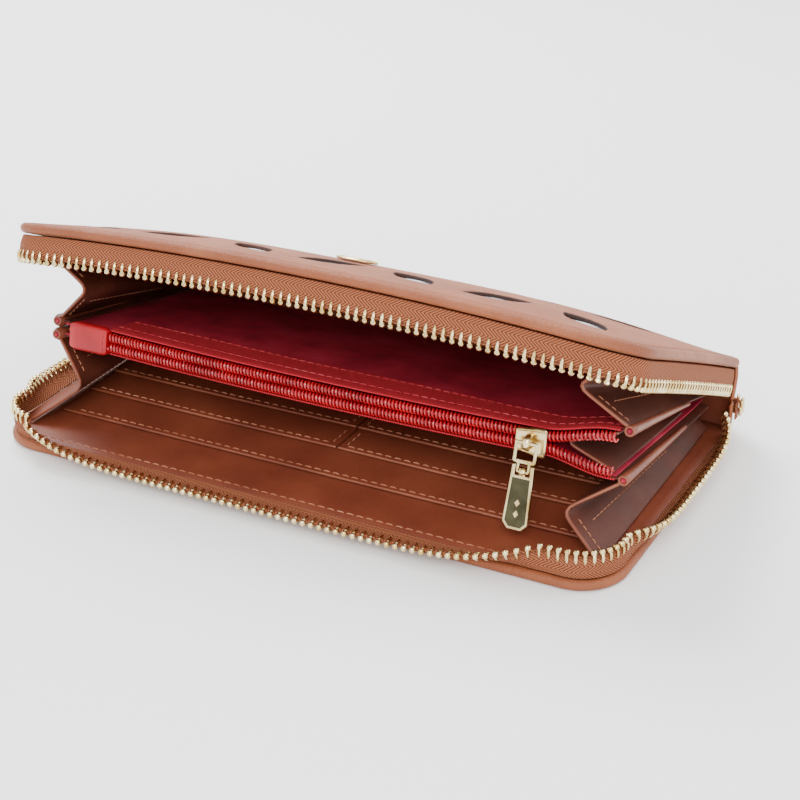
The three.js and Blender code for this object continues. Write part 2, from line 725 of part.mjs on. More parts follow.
function addCoinPocket(group) {
  const { redFabric, redTape, redCoil, redLeather, innerLeather } = MATERIALS;
  for (const [label, side] of [["upper", 1], ["lower", -1]]) {
    group.add(mesh(`coin_wall_${label}`, pocketWall(side), redFabric));
    group.add(mesh(`coin_tape_${label}`, coinTape(side), redTape));
    group.add(mesh(`coin_coil_${label}`, coinCoil(side), redCoil));
  }
  group.add(mesh("coin_end_tab", coinEndTab(), redLeather));
  group.add(mesh("gusset_right_middle", rightMiddleFold(), innerLeather));
  group.add(mesh("gusset_left_middle", leftMiddleFold(), innerLeather));
}

function addPull(pivot, prefix) {
  pivot.add(mesh(`${prefix}_pull_link`, pullLink(), MATERIALS.gold));
  pivot.add(mesh(`${prefix}_pull_plate`, pullPlate(), MATERIALS.gold));
}

// The coin slider faces the mouth, and its pull hangs across the zip.
function addCoinSlider(group) {
  const slider = new THREE.Group();
  const faceY = COIL_Y - COIL_RADIUS - GAP;
  slider.position.set(COIN_SLIDER_X, faceY, pocketMiddle(COIN_SLIDER_X, NOSE_Y));
  slider.rotation.x = Math.PI / 2;
  slider.add(mesh("coin_slider_body", sliderBody(true), MATERIALS.gold));
  const pivot = new THREE.Group();
  pivot.position.z = SLIDER_FACE + PIVOT_HEIGHT;
  pivot.rotation.set(-(Math.PI / 2 - COIN_PULL_ANGLE), 0, -Math.PI / 2);
  addPull(pivot, "coin");
  slider.add(pivot);
  group.add(slider);
}

// The main slider is parked on the closed end behind the spine, its pull lying along the chain.
function addMainSlider(group) {
  const slider = new THREE.Group();
  slider.position.set(MAIN_SLIDER_X, END_CHAIN_Y + 0.8 + GAP, END_CHAIN_Z);
  slider.rotation.x = -Math.PI / 2;
  slider.add(mesh("main_slider_body", sliderBody(false), MATERIALS.gold));
  const pivot = new THREE.Group();
  pivot.position.z = SLIDER_FACE + PIVOT_HEIGHT;
  pivot.rotation.z = Math.PI;
  addPull(pivot, "main");
  slider.add(pivot);
  group.add(slider);
}

function addGussets(group) {
  for (const [label, side] of [["right", 1], ["left", -1]]) {
    const lower = gussetFold(side, baseLine(side), pocketLine(side, -1));
    const upper = gussetFold(side, pocketLine(side, 1), lidLine(side));
    group.add(mesh(`gusset_${label}_lower`, lower, MATERIALS.innerLeather));
    group.add(mesh(`gusset_${label}_upper`, upper, MATERIALS.innerLeather));
  }
}

function buildWallet() {
  const wallet = new THREE.Group();
  addBase(wallet);
  addMainSlider(wallet);
  addGussets(wallet);
  const pocket = turnedAboutSpine(POCKET_ANGLE);
  addCoinPocket(pocket.contents);
  addCoinSlider(pocket.contents);
  const lid = turnedAboutSpine(LID_ANGLE - POCKET_ANGLE);
  addLid(lid.contents);
  pocket.contents.add(lid.hinge);
  wallet.add(pocket.hinge);
  return wallet;
}

export default buildWallet();
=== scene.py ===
"""Looks of a long zip around wallet lying open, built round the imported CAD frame.

Shapes are worked out in millimetres as the wallet lies when it is shut. The pocket and the lid are then
turned open about the spine line, and make() turns millimetres into metres.
"""
import math

import bpy
import bmesh
import numpy as np
from mathutils import Matrix, Vector
from mathutils.geometry import delaunay_2d_cdt


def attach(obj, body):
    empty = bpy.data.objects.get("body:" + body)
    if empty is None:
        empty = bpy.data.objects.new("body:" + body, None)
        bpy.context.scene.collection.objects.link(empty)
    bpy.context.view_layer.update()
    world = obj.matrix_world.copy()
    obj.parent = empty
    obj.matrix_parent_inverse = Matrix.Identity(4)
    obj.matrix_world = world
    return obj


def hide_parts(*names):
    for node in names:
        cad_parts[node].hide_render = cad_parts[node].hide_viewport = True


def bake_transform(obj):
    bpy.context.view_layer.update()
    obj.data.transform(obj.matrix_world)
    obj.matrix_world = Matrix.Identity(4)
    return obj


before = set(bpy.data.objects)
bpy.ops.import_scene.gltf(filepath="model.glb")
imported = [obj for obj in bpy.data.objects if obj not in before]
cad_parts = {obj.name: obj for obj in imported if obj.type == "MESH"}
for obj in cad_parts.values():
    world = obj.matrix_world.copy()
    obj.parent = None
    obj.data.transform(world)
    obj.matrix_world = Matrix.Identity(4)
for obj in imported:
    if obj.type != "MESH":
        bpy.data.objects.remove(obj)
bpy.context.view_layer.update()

# ---------------------------------------------------------------- driving dimensions, as in the CAD
MM = 0.001
HALF_LENGTH, HALF_DEPTH, THICKNESS, MID = 97.5, 50.0, 24.0, 12.0
CORNER_RADIUS, REAR_RADIUS, SPINE_Y, REAR_END = 14.0, 5.0, 51.5, 44.0
POCKET_ANGLE, LID_ANGLE = math.radians(12), math.radians(24.75)
PIPING_RADIUS, PIPING_INSET, COVER_INSET, LINING_INSET = 1.5, 1.7, 2.6, 2.1
TAPE_ROOT, TAPE_HEIGHT, TOOTH_PITCH = 3.7, 5.75, 2.54
SLOT_HALF_WIDTH = 86.0
POCKET_HALF_WIDTH, POCKET_REAR, NOSE_Y = 88.0, 46.0, -24.5
COIL_Y, COIN_ZIP_START, COIL_PITCH, COIL_STEPS = -26.4, -71.0, 1.1, 12
GUSSET_X, GUSSET_FRONT, CREST_DEPTH = 90.5, -40.0, 14.0
SIDE_RUN, ARC_RUN = 80.0, math.pi / 2 * CORNER_RADIUS
RIM_RUN = 2 * (SIDE_RUN + ARC_RUN) + 2 * (HALF_LENGTH - CORNER_RADIUS)
COIN_SLIDER_X, COIN_PULL_HANG = 65, math.radians(84)
MAIN_SLIDER_X, CHAIN_LEVEL, CHAIN_START, CHAIN_BEND = 88, 10.6, 0.12, 4
TAPE_CLOTH, WALL_CLOTH, COIN_TAPE_CLOTH, GUSSET_LEATHER = 0.6, 0.5, 0.45, 0.65
LEAF_ROWS, LEAF_COLUMNS, LEAF_SPACING, LEAF_LEAN = (-31, -1, 29), 7, 25, 36
INLAY_SWELL, INLAY_SWELL_REACH = 1.35, 10


def lerp(a, b, t):
    return a + (b - a) * t


def clamp(x, low, high):
    return min(max(x, low), high)


def smoothstep(x, low, high):
    t = clamp((x - low) / (high - low), 0, 1)
    return t * t * (3 - 2 * t)


def opened(points, angle):
    """Points of the shut wallet, turned open about the spine line."""
    p = np.array(points, float).reshape(-1, 3)
    dy, dz = p[:, 1] - SPINE_Y, p[:, 2] - MID
    p[:, 1] = SPINE_Y + dy * math.cos(angle) + dz * math.sin(angle)
    p[:, 2] = MID - dy * math.sin(angle) + dz * math.cos(angle)
    return p


def lid_rise(x, y):
    across = x / HALF_LENGTH
    dome = 6 * (1 - (y / HALF_DEPTH) ** 2) * (1 - across ** 4)
    arch = 3.5 * (1 - across ** 2) * ((HALF_DEPTH - y) / (2 * HALF_DEPTH)) ** 2
    return max(dome, 0) + max(arch, 0)


def flat(x, y):
    return 0.0


def rim_at(distance, inset):
    """The outline's point at a distance from its left rear end, moved in by inset, and its outward normal."""
    mirrored = distance > RIM_RUN / 2
    d = RIM_RUN - distance if mirrored else distance
    turn = clamp((d - SIDE_RUN) / CORNER_RADIUS, 0, math.pi / 2)
    n = np.array([-math.cos(turn), -math.sin(turn), 0])
    p = np.array([CORNER_RADIUS - HALF_LENGTH, CORNER_RADIUS - HALF_DEPTH, 0]) + n * (CORNER_RADIUS - inset)
    p[1] += max(SIDE_RUN - d, 0)
    p[0] += max(d - SIDE_RUN - ARC_RUN, 0)
    flip = np.array([-1 if mirrored else 1, 1, 1])
    return p * flip, n * flip


def base_flare(p, n):
    if abs(n[1]) > 0.999:
        return math.radians(88) * (1 - clamp((p[0] + 5) / 83, -1, 1) ** 6)
    if abs(n[0]) > 0.999:
        return math.radians(55) * (1 - clamp((p[1] - 5) / 38, -1, 1) ** 4)
    return 0.0


def base_tape_at(distance):
    """Where the tape leaves the shell, which way it runs and which way it faces."""
    p, n = rim_at(distance, PIPING_INSET)
    flare = base_flare(p, n)
    up = np.array([0, 0, 1.0])
    p[2] = TAPE_ROOT
    return p, up * math.cos(flare) + n * math.sin(flare), n * math.cos(flare) - up * math.sin(flare)


def lid_tape_at(distance):
    p, n = rim_at(distance, PIPING_INSET)
    p[2] = THICKNESS - TAPE_ROOT + lid_rise(p[0], p[1])
    return p, np.array([0, 0, -1.0]), n


# ---------------------------------------------------------------- mesh helpers
class Soup:
    """Vertices, faces, texture coordinates and material numbers of one piece."""

    def __init__(self):
        self.points, self.faces, self.uvs, self.mats, self.count = [], [], [], [], 0

    def add(self, data, mat=0):
        points, faces, uvs = data
        self.points.append(np.asarray(points, float))
        self.uvs.append(np.zeros((len(points), 2)) if uvs is None else np.asarray(uvs, float))
        self.faces += [tuple(i + self.count for i in f) for f in faces]
        self.mats += list(mat) if hasattr(mat, "__len__") else [mat] * len(faces)
        self.count += len(points)
        return self

    def joined(self):
        return np.concatenate(self.points), self.faces, np.concatenate(self.uvs)


def make(name, soup, materials, angle=0.0, smooth_angle=50):
    """The piece as an object, in metres."""
    points = np.concatenate(soup.points)
    if angle:
        points = opened(points, angle)
    mesh = bpy.data.meshes.new(name)
    mesh.from_pydata((points * MM).tolist(), [], soup.faces)
    for m in materials:
        mesh.materials.append(m)
    mesh.polygons.foreach_set("material_index", soup.mats)
    uvs = np.concatenate(soup.uvs)
    loops = np.empty(len(mesh.loops), int)
    mesh.loops.foreach_get("vertex_index", loops)
    mesh.uv_layers.new(name="UVMap").data.foreach_set("uv", uvs[loops].ravel())
    bm = bmesh.new()
    bm.from_mesh(mesh)
    bmesh.ops.recalc_face_normals(bm, faces=bm.faces)
    limit = math.radians(smooth_angle)
    for e in bm.edges:
        e.smooth = not e.is_manifold or e.calc_face_angle(0) < limit
    for f in bm.faces:
        f.smooth = True
    bm.to_mesh(mesh)
    bm.free()
    obj = bpy.data.objects.new(name, mesh)
    bpy.context.scene.collection.objects.link(obj)
    return obj


def settle(obj, body, slot, *nodes):
    """The piece rides on a body and stands for some CAD nodes. The slot is not used."""
    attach(obj, body)
    if nodes:
        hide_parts(*nodes)
    return obj


def unit(v):
    v = np.asarray(v, float)
    return v / np.maximum(np.linalg.norm(v, axis=-1, keepdims=True), 1e-9)


def sheet(grid, thickness, uv=None):
    """A closed sheet with rounded edges, whose middle surface is the grid."""
    grid = np.asarray(grid, float)
    nu, nv = grid.shape[:2]
    normal = unit(np.cross(np.gradient(grid, axis=0), np.gradient(grid, axis=1)))
    if uv is None:
        du = np.linalg.norm(np.diff(grid, axis=0), axis=2).mean(1)
        dv = np.linalg.norm(np.diff(grid, axis=1), axis=2).mean(0)
        us, vs = np.concatenate([[0], np.cumsum(du)]), np.concatenate([[0], np.cumsum(dv)])
        uv = np.stack(np.meshgrid(us, vs, indexing="ij"), axis=2)
    ring = [(i, 0) for i in range(nu)] + [(nu - 1, j) for j in range(1, nv)]
    ring += [(i, nv - 1) for i in range(nu - 2, -1, -1)] + [(0, j) for j in range(nv - 2, 0, -1)]
    out = []
    for i, j in ring:
        inner = grid[clamp(i, 1, nu - 2) if nu > 2 else i, clamp(j, 1, nv - 2) if nv > 2 else j]
        out.append(grid[i, j] + unit(grid[i, j] - inner) * thickness * 0.4)
    top, bottom = (grid + s * normal * thickness / 2 for s in (1, -1))
    points = np.concatenate([top.reshape(-1, 3), bottom.reshape(-1, 3), np.array(out)])
    uvs = np.concatenate([uv.reshape(-1, 2)] * 2 + [np.array([uv[i, j] for i, j in ring])])
    n = nu * nv
    faces = []
    for i in range(nu - 1):
        for j in range(nv - 1):
            a, b, c, d = i * nv + j, (i + 1) * nv + j, (i + 1) * nv + j + 1, i * nv + j + 1
            faces += [(a, b, c, d), (n + d, n + c, n + b, n + a)]
    for k in range(len(ring)):
        m = (k + 1) % len(ring)
        a, b = ring[k][0] * nv + ring[k][1], ring[m][0] * nv + ring[m][1]
        faces += [(a, b, 2 * n + m, 2 * n + k), (2 * n + k, 2 * n + m, n + b, n + a)]
    return points, faces, uvs


def ring_faces(rings, sides):
    """The faces of a skin over rings of points, with its two end faces."""
    faces = []
    for r in range(rings - 1):
        for k in range(sides):
            m = (k + 1) % sides
            faces.append((r * sides + k, r * sides + m, (r + 1) * sides + m, (r + 1) * sides + k))
    return faces + [tuple(range(sides))[::-1], tuple(range((rings - 1) * sides, rings * sides))]


def tube(path, radius, sides=10, across=None, squash=1.0):
    """A tube with rounded ends. across gives a direction across the path at each point."""
    path = np.asarray(path, float)
    radius = np.full(len(path), radius, float) if np.isscalar(radius) else np.asarray(radius, float)
    tangent = unit(np.gradient(path, axis=0))
    if across is None:
        start = np.array([0, 0, 1.0]) if abs(tangent[0][2]) < 0.9 else np.array([1.0, 0, 0])
        rows = []
        for t in tangent:
            start = unit(start - t * start.dot(t))
            rows.append(start)
        across = np.array(rows)
    across = unit(across - tangent * (across * tangent).sum(1, keepdims=True))
    other = np.cross(tangent, across)
    first, last = radius[0], radius[-1]
    rings = [(path[0] - tangent[0] * first * 0.5, radius[0] * 0.6, 0)]
    rings += [(path[k], radius[k], k) for k in range(len(path))]
    rings += [(path[-1] + tangent[-1] * last * 0.5, radius[-1] * 0.6, len(path) - 1)]
    turns = np.arange(sides) * 2 * math.pi / sides
    points, uvs, run = [], [], 0.0
    for r, (centre, size, k) in enumerate(rings):
        if r:
            run += np.linalg.norm(centre - rings[r - 1][0])
        for a in turns:
            points.append(centre + size * (across[k] * math.cos(a) + other[k] * math.sin(a) * squash))
            uvs.append((run, a * size))
    return points, ring_faces(len(rings), sides), uvs


def moved(data, matrix):
    points, faces, uvs = data
    p = np.asarray(points, float)
    m = np.array(matrix)
    return p @ m[:3, :3].T + m[:3, 3], faces, uvs


def resampled(path, step):
    path = np.asarray(path, float)
    run = np.concatenate([[0], np.cumsum(np.linalg.norm(np.diff(path, axis=0), axis=1))])
    at = np.linspace(0, run[-1], max(int(round(run[-1] / step)), 1) + 1)
    return np.stack([np.interp(at, run, path[:, k]) for k in range(3)], axis=1)


def stitch_soup(paths, up, length=2.3, gap=0.8, radius=0.17):
    """Dashes of thread that come out of the leather and go back in. up is the leather's outward side."""
    soup = Soup()
    up = unit(np.array(up, float))
    for path in paths:
        fine = resampled(path, 0.1)
        step, dash = int((length + gap) / 0.1), int(length / 0.1)
        for start in range(3, len(fine) - dash, step):
            ends = fine[start:start + dash + 1:max(dash // 4, 1)]
            arch = np.sin(np.linspace(0, math.pi, len(ends)))[:, None] ** 0.5
            soup.add(tube(ends + up * (arch * radius * 1.3 - radius * 0.5), radius, 6))
    return soup


def outline_plate(outline, holes, low, high, bevel, rise=flat, spacing=None, hole_mat=0):
    """A plate with holes and bevelled edges, from plan outlines that run anticlockwise."""
    def inset(loop, amount):
        loop = np.asarray(loop, float)
        before, after = unit(loop - np.roll(loop, 1, 0)), unit(np.roll(loop, -1, 0) - loop)
        left = lambda d: np.stack([-d[:, 1], d[:, 0]], axis=1)
        n = unit(left(before) + left(after))
        spread = np.maximum((n * left(after)).sum(1, keepdims=True), 0.5)
        return loop + n * amount / spread

    loops = [np.asarray(outline, float)] + [np.asarray(h, float) for h in holes]
    shrunk = [inset(loop, bevel if k == 0 else -bevel) for k, loop in enumerate(loops)]
    flat_points = [tuple(p) for loop in shrunk for p in loop]
    edges, rings, start, spans = [], [], 0, []
    for loop in shrunk:
        count = len(loop)
        edges += [(start + i, start + (i + 1) % count) for i in range(count)]
        rings.append(list(range(start, start + count)))
        spans.append((start, count))
        start += count
    if spacing:
        lo, hi = shrunk[0].min(0), shrunk[0].max(0)
        for gx in np.arange(lo[0] + spacing / 2, hi[0], spacing):
            for gy in np.arange(lo[1] + spacing / 2, hi[1], spacing):
                flat_points.append((gx, gy))
    flat_points = [Vector(p) for p in flat_points]
    coords, _, tris, origin, _, inside = delaunay_2d_cdt(flat_points, edges, rings, 1, 1e-5)
    tris = [t for t, rings_round_it in zip(tris, inside) if max(rings_round_it, default=1) == 0]
    found = {o: k for k, sources in enumerate(origin) for o in sources}
    n = len(coords)
    points = [(c.x, c.y, high + rise(c.x, c.y)) for c in coords]
    points += [(c.x, c.y, low + rise(c.x, c.y)) for c in coords]
    faces = [tuple(t) for t in tris] + [tuple(n + i for i in reversed(t)) for t in tris]
    mats = [0] * len(faces)
    for k, (first, count) in enumerate(spans):
        base = len(points)
        for z in (high - bevel, low + bevel):
            points += [(p[0], p[1], z + rise(p[0], p[1])) for p in loops[k]]
        for i in range(count):
            m = (i + 1) % count
            a, b = found[first + i], found[first + m]
            u0, u1, l0, l1 = base + i, base + m, base + count + i, base + count + m
            faces += [(a, u0, u1, b), (u0, l0, l1, u1), (l0, n + a, n + b, l1)]
            mats += [hole_mat if k else 0] * 3
    points = np.array(points)
    return (points, faces, points[:, :2]), mats


def panel_outline(inset):
    """The outline of a shell, anticlockwise."""
    out = []
    front = CORNER_RADIUS - inset
    corners = [(-1, -1, front, inset, math.pi), (1, -1, front, inset, 1.5 * math.pi),
               (1, 1, REAR_RADIUS, 0, 0), (-1, 1, REAR_RADIUS, 0, 0.5 * math.pi)]
    for sx, sy, radius, front_inset, start in corners:
        cx = sx * (HALF_LENGTH - inset - radius)
        cy = sy * (HALF_DEPTH - front_inset - radius)
        for t in np.linspace(0, math.pi / 2, 9):
            out.append((cx + radius * math.cos(start + t), cy + radius * math.sin(start + t)))
    dense = []
    for k, p in enumerate(out):
        q = out[(k + 1) % len(out)]
        count = max(int(math.dist(p, q) / 5), 1)
        dense += [(lerp(p[0], q[0], i / count), lerp(p[1], q[1], i / count)) for i in range(count)]
    return dense


# ---------------------------------------------------------------- materials
def srgb(r, g, b):
    convert = lambda c: c / 12.92 if c <= 0.04045 else ((c + 0.055) / 1.055) ** 2.4
    return (*(convert(c / 255) for c in (r, g, b)), 1.0)


class Shader:
    """A principled material with short calls for its nodes."""

    def __init__(self, name, roughness, **constants):
        self.material = bpy.data.materials.new(name)
        self.material.use_nodes = True
        self.tree = self.material.node_tree
        self.main = self.tree.nodes["Principled BSDF"]
        self.main.inputs["Roughness"].default_value = roughness
        for key, value in constants.items():
            self.main.inputs[key.replace("_", " ")].default_value = value

    def node(self, kind, inputs=(), **settings):
        made = self.tree.nodes.new("ShaderNode" + kind)
        for key, value in settings.items():
            setattr(made, key, value)
        for key, value in dict(inputs).items():
            if isinstance(value, bpy.types.NodeSocket):
                self.tree.links.new(value, made.inputs[key])
            else:
                made.inputs[key].default_value = value
        return made

    def math(self, operation, a, b=0.0):
        return self.node("Math", {0: a, 1: b}, operation=operation).outputs[0]

    def coords(self, kind="Object"):
        return self.node("TexCoord").outputs[kind]

    def noise(self, scale, detail=4.0, coords=None):
        inputs = {"Vector": coords or self.coords(), "Scale": scale, "Detail": detail}
        return self.node("TexNoise", inputs).outputs[0]

    def paint(self, factor, *stops):
        ramp = self.node("ValToRGB", {0: factor})
        elements = ramp.color_ramp.elements
        while len(elements) < len(stops):
            elements.new(0.5)
        for element, (place, colour) in zip(elements, stops):
            element.position, element.color = place, colour
        return ramp.outputs[0]

    def mix(self, factor, a, b):
        made = self.node("Mix", data_type="RGBA")
        for key, value in ((0, factor), (6, a), (7, b)):
            if isinstance(value, bpy.types.NodeSocket):
                self.tree.links.new(value, made.inputs[key])
            else:
                made.inputs[key].default_value = value
        return made.outputs[2]

    def colour(self, socket):
        self.tree.links.new(socket, self.main.inputs["Base Color"])

    def roughen(self, factor, low, high):
        ranged = self.node("MapRange", {0: factor, 3: low, 4: high})
        self.tree.links.new(ranged.outputs[0], self.main.inputs["Roughness"])

    def bump(self, height, strength, distance):
        made = self.node("Bump", {"Height": height, "Strength": strength, "Distance": distance})
        self.tree.links.new(made.outputs[0], self.main.inputs["Normal"])


def leather(name, dark, mid, light, roughness, grain=1500, depth=0.0003, coat=0.0):
    s = Shader(name, roughness, Coat_Weight=coat, Coat_Roughness=0.3, Specular_IOR_Level=0.35)
    inputs = {"Vector": s.coords(), "Scale": grain}
    cells = s.node("TexVoronoi", inputs, feature="DISTANCE_TO_EDGE").outputs[0]
    pebble = s.math("MINIMUM", s.math("MULTIPLY", cells, 3.0), 1.0)
    patches = s.noise(45, 5)
    tone = s.paint(patches, (0.3, dark), (0.5, mid), (0.72, light))
    s.colour(s.mix(s.math("MULTIPLY", s.math("SUBTRACT", 1.0, pebble), 0.35), tone, dark))
    s.roughen(s.noise(220), roughness - 0.08, roughness + 0.1)
    s.bump(s.math("ADD", pebble, s.math("MULTIPLY", s.noise(700), 0.8)), 0.45, depth)
    return s.material


def herringbone(name, dark, mid, light, column=3.6, rib=1.15):
    """A woven tape. u runs along the tape and v across it, both in millimetres."""
    s = Shader(name, 0.85, Specular_IOR_Level=0.25)
    parts = s.node("SeparateXYZ", {0: s.coords("UV")})
    u, v = parts.outputs[0], parts.outputs[1]
    zigzag = s.math("PINGPONG", v, column / 2)
    phase = s.math("MULTIPLY", s.math("ADD", u, s.math("MULTIPLY", zigzag, 1.5)), 2 * math.pi / rib)
    ribs = s.math("ADD", s.math("MULTIPLY", s.math("SINE", phase), 0.5), 0.5)
    threads = s.math("ADD", s.math("MULTIPLY", s.math("SINE", s.math("MULTIPLY", v, 22.0)), 0.5), 0.5)
    weave = s.math("ADD", s.math("MULTIPLY", ribs, 0.8), s.math("MULTIPLY", threads, 0.2))
    tone = s.paint(weave, (0.08, dark), (0.55, mid), (0.95, light))
    s.colour(s.mix(s.math("MULTIPLY", s.noise(300), 0.35), tone, mid))
    s.roughen(s.noise(500), 0.75, 0.95)
    s.bump(weave, 0.9, 0.0003)
    return s.material


def fabric(name, dark, mid, light, thread=0.42):
    s = Shader(name, 0.75, Specular_IOR_Level=0.2)
    parts = s.node("SeparateXYZ", {0: s.coords("UV")})
    waves = []
    for k in (0, 1):
        turn = s.math("MULTIPLY", parts.outputs[k], 2 * math.pi / thread)
        waves.append(s.math("ADD", s.math("MULTIPLY", s.math("SINE", turn), 0.5), 0.5))
    weave = s.math("MULTIPLY", waves[0], waves[1])
    tone = s.paint(s.noise(60, 6), (0.3, dark), (0.5, mid), (0.75, light))
    s.colour(s.mix(s.math("MULTIPLY", weave, 0.3), tone, dark))
    s.roughen(s.noise(350), 0.62, 0.85)
    s.bump(weave, 0.5, 0.00012)
    return s.material


def metal(name, colour, tarnish, low, high):
    s = Shader(name, low, Metallic=1.0)
    s.colour(s.paint(s.noise(180, 5), (0.35, tarnish), (0.6, colour)))
    s.roughen(s.noise(900, 6), low, high)
    s.bump(s.noise(1400), 0.12, 0.00004)
    return s.material


def gloss(name, colour, shade, roughness, depth=0.00005):
    s = Shader(name, roughness, Coat_Weight=0.5, Coat_Roughness=0.12)
    s.colour(s.paint(s.noise(140, 4), (0.3, shade), (0.65, colour)))
    s.roughen(s.noise(400), roughness - 0.05, roughness + 0.1)
    s.bump(s.noise(600), 0.25, depth)
    return s.material


OUTER = leather("outer_leather", srgb(132, 70, 39), srgb(144, 78, 45), srgb(160, 94, 60), 0.55)
PIPING = leather("piping_leather", srgb(122, 64, 35), srgb(137, 74, 42), srgb(160, 96, 60), 0.5)
CUT = leather("cut_edge", srgb(30, 14, 9), srgb(52, 25, 15), srgb(78, 40, 24), 0.7)
INNER = leather("inner_leather", srgb(98, 44, 27), srgb(112, 53, 33), srgb(126, 64, 41), 0.5, 2600, 0.00005)
GUSSET = leather("gusset_leather", srgb(62, 27, 17), srgb(82, 37, 23), srgb(98, 48, 31), 0.55, 2600, 0.00005)
# Turned edges: lighter than the inner leather, partly the edges' own finish and partly a painted highlight
# where the rolled edges face the light.
HIGHLIT_EDGE = leather("turned_edge_painted_highlight", srgb(92, 42, 26), srgb(126, 66, 44), srgb(150, 88, 62),
               0.46, 2600, 0.00005, 0.2)
INLAY = gloss("patent_inlay", srgb(120, 128, 140), srgb(78, 84, 94), 0.16, 0.00012)
BOARD = leather("stiffener", srgb(150, 132, 104), srgb(176, 158, 128), srgb(192, 176, 148), 0.9, 3000)
TAPE = herringbone("zip_tape", srgb(66, 28, 12), srgb(138, 76, 46), srgb(172, 106, 72))
GOLD = metal("gold_metal", srgb(240, 222, 172), srgb(206, 176, 112), 0.16, 0.32)
PLATE_FACE = metal("plate_face", srgb(88, 84, 62), srgb(62, 58, 42), 0.12, 0.22)
RED_FABRIC = fabric("red_fabric", srgb(132, 24, 44), srgb(166, 40, 60), srgb(182, 56, 76))
RED_TAPE = herringbone("red_tape", srgb(112, 8, 18), srgb(178, 24, 38), srgb(204, 50, 62), 1.8, 0.7)
RED_COIL = gloss("red_coil", srgb(180, 16, 28), srgb(134, 8, 18), 0.3)
RED_LEATHER = leather("red_leather", srgb(140, 10, 20), srgb(178, 20, 32), srgb(196, 40, 52),
                      0.4, 2200, 0.00005, 0.1)
THREAD = fabric("tan_thread", srgb(132, 80, 56), srgb(166, 108, 80), srgb(188, 134, 106), 0.2)
RED_THREAD = fabric("red_thread", srgb(140, 30, 40), srgb(176, 56, 66), srgb(196, 90, 96), 0.2)


# ---------------------------------------------------------------- shells
def leaf(x, y, turn):
    """A pointed leaf, the motif cut through the lid, anticlockwise."""
    half, bow, out = 9.5, 9.2, []
    for side in (-1, 1):
        for t in np.linspace(0, 1, 13)[:-1]:
            px = lerp(-half, half, t) * -side
            py = side * 2 * t * (1 - t) * bow
            out.append((px, py))
    c, s = math.cos(turn), math.sin(turn)
    return [(x + a * c - b * s, y + a * s + b * c) for a, b in out]


def leaf_centres():
    """Each leaf's middle, and which way it leans."""
    for row, y in enumerate(LEAF_ROWS):
        for column in range(LEAF_COLUMNS):
            yield (column - LEAF_COLUMNS // 2) * LEAF_SPACING, y, 1 if (row + column) % 2 else -1


def build_shells():
    centres = list(leaf_centres())
    leaves = [leaf(x, y, math.radians(lean * LEAF_LEAN)) for x, y, lean in centres]
    data, mats = outline_plate(panel_outline(COVER_INSET), leaves, 22.4, THICKNESS, 0.3, lid_rise, 4, 1)
    cover = make("lid_cover_leather", Soup().add(data, mats), [OUTER, CUT], LID_ANGLE)
    settle(cover, "lid", "outer_leather", "lid_cover")

    def bulged(x, y):
        swell = 0.0
        for leaf_x, leaf_y, _ in centres:
            reach = math.dist((x, y), (leaf_x, leaf_y))
            swell = max(swell, INLAY_SWELL * max(1 - (reach / INLAY_SWELL_REACH) ** 2, 0))
        return lid_rise(x, y) + swell

    plates = [("lid_inlay_sheet", "lid_inlay", 21.5, 22.1, bulged, INLAY, "patent_inlay", 2.5),
              ("lid_lining_leather", "lid_lining", 19.8, 20.4, lid_rise, INNER, "inner_leather", 5),
              ("base_cover_leather", "base_cover", 0, 1.6, flat, OUTER, "outer_leather", 8),
              ("base_lining_leather", "base_lining", 3.0, 3.6, flat, INNER, "inner_leather", 8)]
    for name, node, low, high, rise, material, slot, spacing in plates:
        body, angle = ("base", 0) if rise is flat else ("lid", LID_ANGLE)
        inset = LINING_INSET if material is INNER else COVER_INSET
        data, mats = outline_plate(panel_outline(inset), [], low, high, 0.2, rise, spacing)
        settle(make(name, Soup().add(data, mats), [material], angle), body, slot, node)


